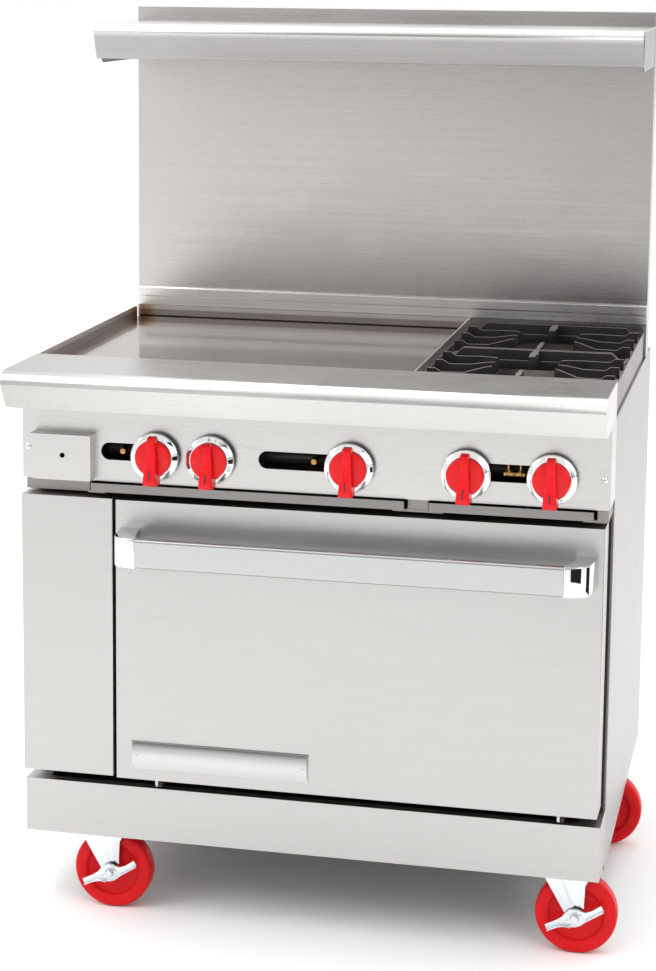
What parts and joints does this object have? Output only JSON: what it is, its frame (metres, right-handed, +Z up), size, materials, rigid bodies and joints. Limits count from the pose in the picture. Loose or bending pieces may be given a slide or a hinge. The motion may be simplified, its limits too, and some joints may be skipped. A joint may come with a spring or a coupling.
{
  "type": "commercial gas range",
  "caption": "Stainless commercial gas range with a griddle, open burners, a drop-down oven door, a high shelf and swivel casters.",
  "frame": {"origin": "on the floor under the middle of the range's bounding box", "axes": "+X to the cook's right, +Y from the front to the rear, +Z up"},
  "size_m": [0.967, 0.8636, 1.4284],
  "materials": {
    "stainless": "brushed",
    "dark_enamel": "semi-gloss",
    "galvanised": "dull",
    "cast_iron": "rough",
    "black_pipe": "scaled",
    "mineral_wool": "fibrous",
    "brass": "machined",
    "satin_bar": "fine satin",
    "chrome": "mirror",
    "griddle_steel": "polished",
    "screws": "bright",
    "red_plastic": "gloss",
    "zinc": "bright zinc",
    "red_wheel": "satin polyurethane"
  },
  "bodies": {
    "range_body": {"base_frame": "galvanised", "side_panel_left": "stainless", "side_panel_right": "stainless", "rear_panel": "galvanised", "kick_plate": "stainless", "compartment_cover": "stainless", "oven_front_frame": "dark_enamel", "oven_liner": "dark_enamel", "oven_insulation": "mineral_wool", "oven_deck": "dark_enamel", "rack_guides": "chrome", "tube_burners": "black_pipe", "control_panel": "stainless", "landing_ledge": "stainless", "griddle_plate": "griddle_steel", "griddle_splash": "stainless", "burner_box": "dark_enamel", "open_burners": "cast_iron", "tray_rails": "galvanised", "gas_manifold": "black_pipe", "gas_valves": "brass", "riser_trim": "stainless", "backguard_panel": "stainless", "backguard_back": "galvanised", "flue_cover": "galvanised", "high_shelf": "stainless", "shelf_brackets": "stainless", "fasteners": "screws"},
    "oven_door": {"door_skin": "stainless", "door_liner": "galvanised", "door_insulation": "mineral_wool", "handle_bar": "satin_bar", "handle_ends": "chrome", "name_plate": "chrome"},
    "oven_rack": {"oven_rack": "chrome"},
    "crumb_tray_left": {"crumb_tray_left": "stainless"},
    "crumb_tray_right": {"crumb_tray_right": "stainless"},
    "grease_drawer": {"grease_drawer": "stainless"},
    "grate_front": {"grate_front": "cast_iron"},
    "grate_rear": {"grate_rear": "cast_iron"},
    "griddle_left_knob": {"knob_1": "red_plastic", "dial_1": "chrome"},
    "thermostat_knob": {"knob_2": "red_plastic", "dial_2": "chrome"},
    "griddle_right_knob": {"knob_3": "red_plastic", "dial_3": "chrome"},
    "front_burner_knob": {"knob_4": "red_plastic", "dial_4": "chrome"},
    "rear_burner_knob": {"knob_5": "red_plastic", "dial_5": "chrome"},
    "caster_front_left": {"caster_fork_front_left": "zinc"},
    "wheel_front_left": {"caster_wheel_front_left": "red_wheel"},
    "caster_front_right": {"caster_fork_front_right": "zinc"},
    "wheel_front_right": {"caster_wheel_front_right": "red_wheel"},
    "caster_rear_left": {"caster_fork_rear_left": "zinc"},
    "wheel_rear_left": {"caster_wheel_rear_left": "red_wheel"},
    "caster_rear_right": {"caster_fork_rear_right": "zinc"},
    "wheel_rear_right": {"caster_wheel_rear_right": "red_wheel"},
    "brake_front_left": {"brake_lever_front_left": "zinc"},
    "brake_front_right": {"brake_lever_front_right": "zinc"}
  },
  "joints": [
    {"name": "door_hinge", "type": "hinge", "parent": "range_body", "child": "oven_door", "pos_m": [0.074, -0.3348, 0.228], "axis": [1, 0, 0], "range_deg": [0, 90]},
    {"name": "griddle_left_knob_turn", "type": "hinge", "parent": "range_body", "child": "griddle_left_knob", "pos_m": [-0.24, -0.3318, 0.754], "axis": [0, -1, 0], "range_deg": [0, 90]},
    {"name": "thermostat_knob_turn", "type": "hinge", "parent": "range_body", "child": "thermostat_knob", "pos_m": [-0.152, -0.3318, 0.754], "axis": [0, -1, 0], "range_deg": [0, 300]},
    {"name": "griddle_right_knob_turn", "type": "hinge", "parent": "range_body", "child": "griddle_right_knob", "pos_m": [0.065, -0.3318, 0.754], "axis": [0, -1, 0], "range_deg": [0, 90]},
    {"name": "front_burner_knob_turn", "type": "hinge", "parent": "range_body", "child": "front_burner_knob", "pos_m": [0.243, -0.3318, 0.754], "axis": [0, -1, 0], "range_deg": [0, 90]},
    {"name": "rear_burner_knob_turn", "type": "hinge", "parent": "range_body", "child": "rear_burner_knob", "pos_m": [0.372, -0.3318, 0.754], "axis": [0, -1, 0], "range_deg": [0, 90]},
    {"name": "crumb_tray_left_slide", "type": "slide", "parent": "range_body", "child": "crumb_tray_left", "axis": [0, -1, 0], "range_m": [0, 0.45]},
    {"name": "crumb_tray_right_slide", "type": "slide", "parent": "range_body", "child": "crumb_tray_right", "axis": [0, -1, 0], "range_m": [0, 0.45]},
    {"name": "grease_drawer_slide", "type": "slide", "parent": "range_body", "child": "grease_drawer", "axis": [0, -1, 0], "range_m": [0, 0.15]},
    {"name": "oven_rack_slide", "type": "slide", "parent": "range_body", "child": "oven_rack", "axis": [0, -1, 0], "range_m": [0, 0.02]},
    {"name": "grate_front_lift", "type": "slide", "parent": "range_body", "child": "grate_front", "axis": [0, 0, 1], "range_m": [0, 0.08]},
    {"name": "grate_rear_lift", "type": "slide", "parent": "range_body", "child": "grate_rear", "axis": [0, 0, 1], "range_m": [0, 0.08]},
    {"name": "caster_front_left_swivel", "type": "hinge", "parent": "range_body", "child": "caster_front_left", "pos_m": [-0.372, -0.2848, 0.15], "axis": [0, 0, 1], "continuous": true},
    {"name": "wheel_front_left_spin", "type": "hinge", "parent": "caster_front_left", "child": "wheel_front_left", "pos_m": [-0.324, -0.2848, 0.0635], "axis": [0, 1, 0], "continuous": true},
    {"name": "caster_front_right_swivel", "type": "hinge", "parent": "range_body", "child": "caster_front_right", "pos_m": [0.372, -0.2848, 0.15], "axis": [0, 0, 1], "continuous": true},
    {"name": "wheel_front_right_spin", "type": "hinge", "parent": "caster_front_right", "child": "wheel_front_right", "pos_m": [0.42, -0.2848, 0.0635], "axis": [0, 1, 0], "continuous": true},
    {"name": "caster_rear_left_swivel", "type": "hinge", "parent": "range_body", "child": "caster_rear_left", "pos_m": [-0.372, 0.1782, 0.15], "axis": [0, 0, 1], "continuous": true},
    {"name": "wheel_rear_left_spin", "type": "hinge", "parent": "caster_rear_left", "child": "wheel_rear_left", "pos_m": [-0.42, 0.1782, 0.0635], "axis": [0, 1, 0], "continuous": true},
    {"name": "caster_rear_right_swivel", "type": "hinge", "parent": "range_body", "child": "caster_rear_right", "pos_m": [0.372, 0.1782, 0.15], "axis": [0, 0, 1], "continuous": true},
    {"name": "wheel_rear_right_spin", "type": "hinge", "parent": "caster_rear_right", "child": "wheel_rear_right", "pos_m": [0.42, 0.1782, 0.0635], "axis": [0, 1, 0], "continuous": true},
    {"name": "brake_front_left_rock", "type": "hinge", "parent": "caster_front_left", "child": "brake_front_left", "pos_m": [-0.324, -0.3128, 0.0635], "axis": [0, -1, 0], "range_deg": [-30, 0]},
    {"name": "brake_front_right_rock", "type": "hinge", "parent": "caster_front_right", "child": "brake_front_right", "pos_m": [0.42, -0.3128, 0.0635], "axis": [0, -1, 0], "range_deg": [-30, 0]}
  ]
}
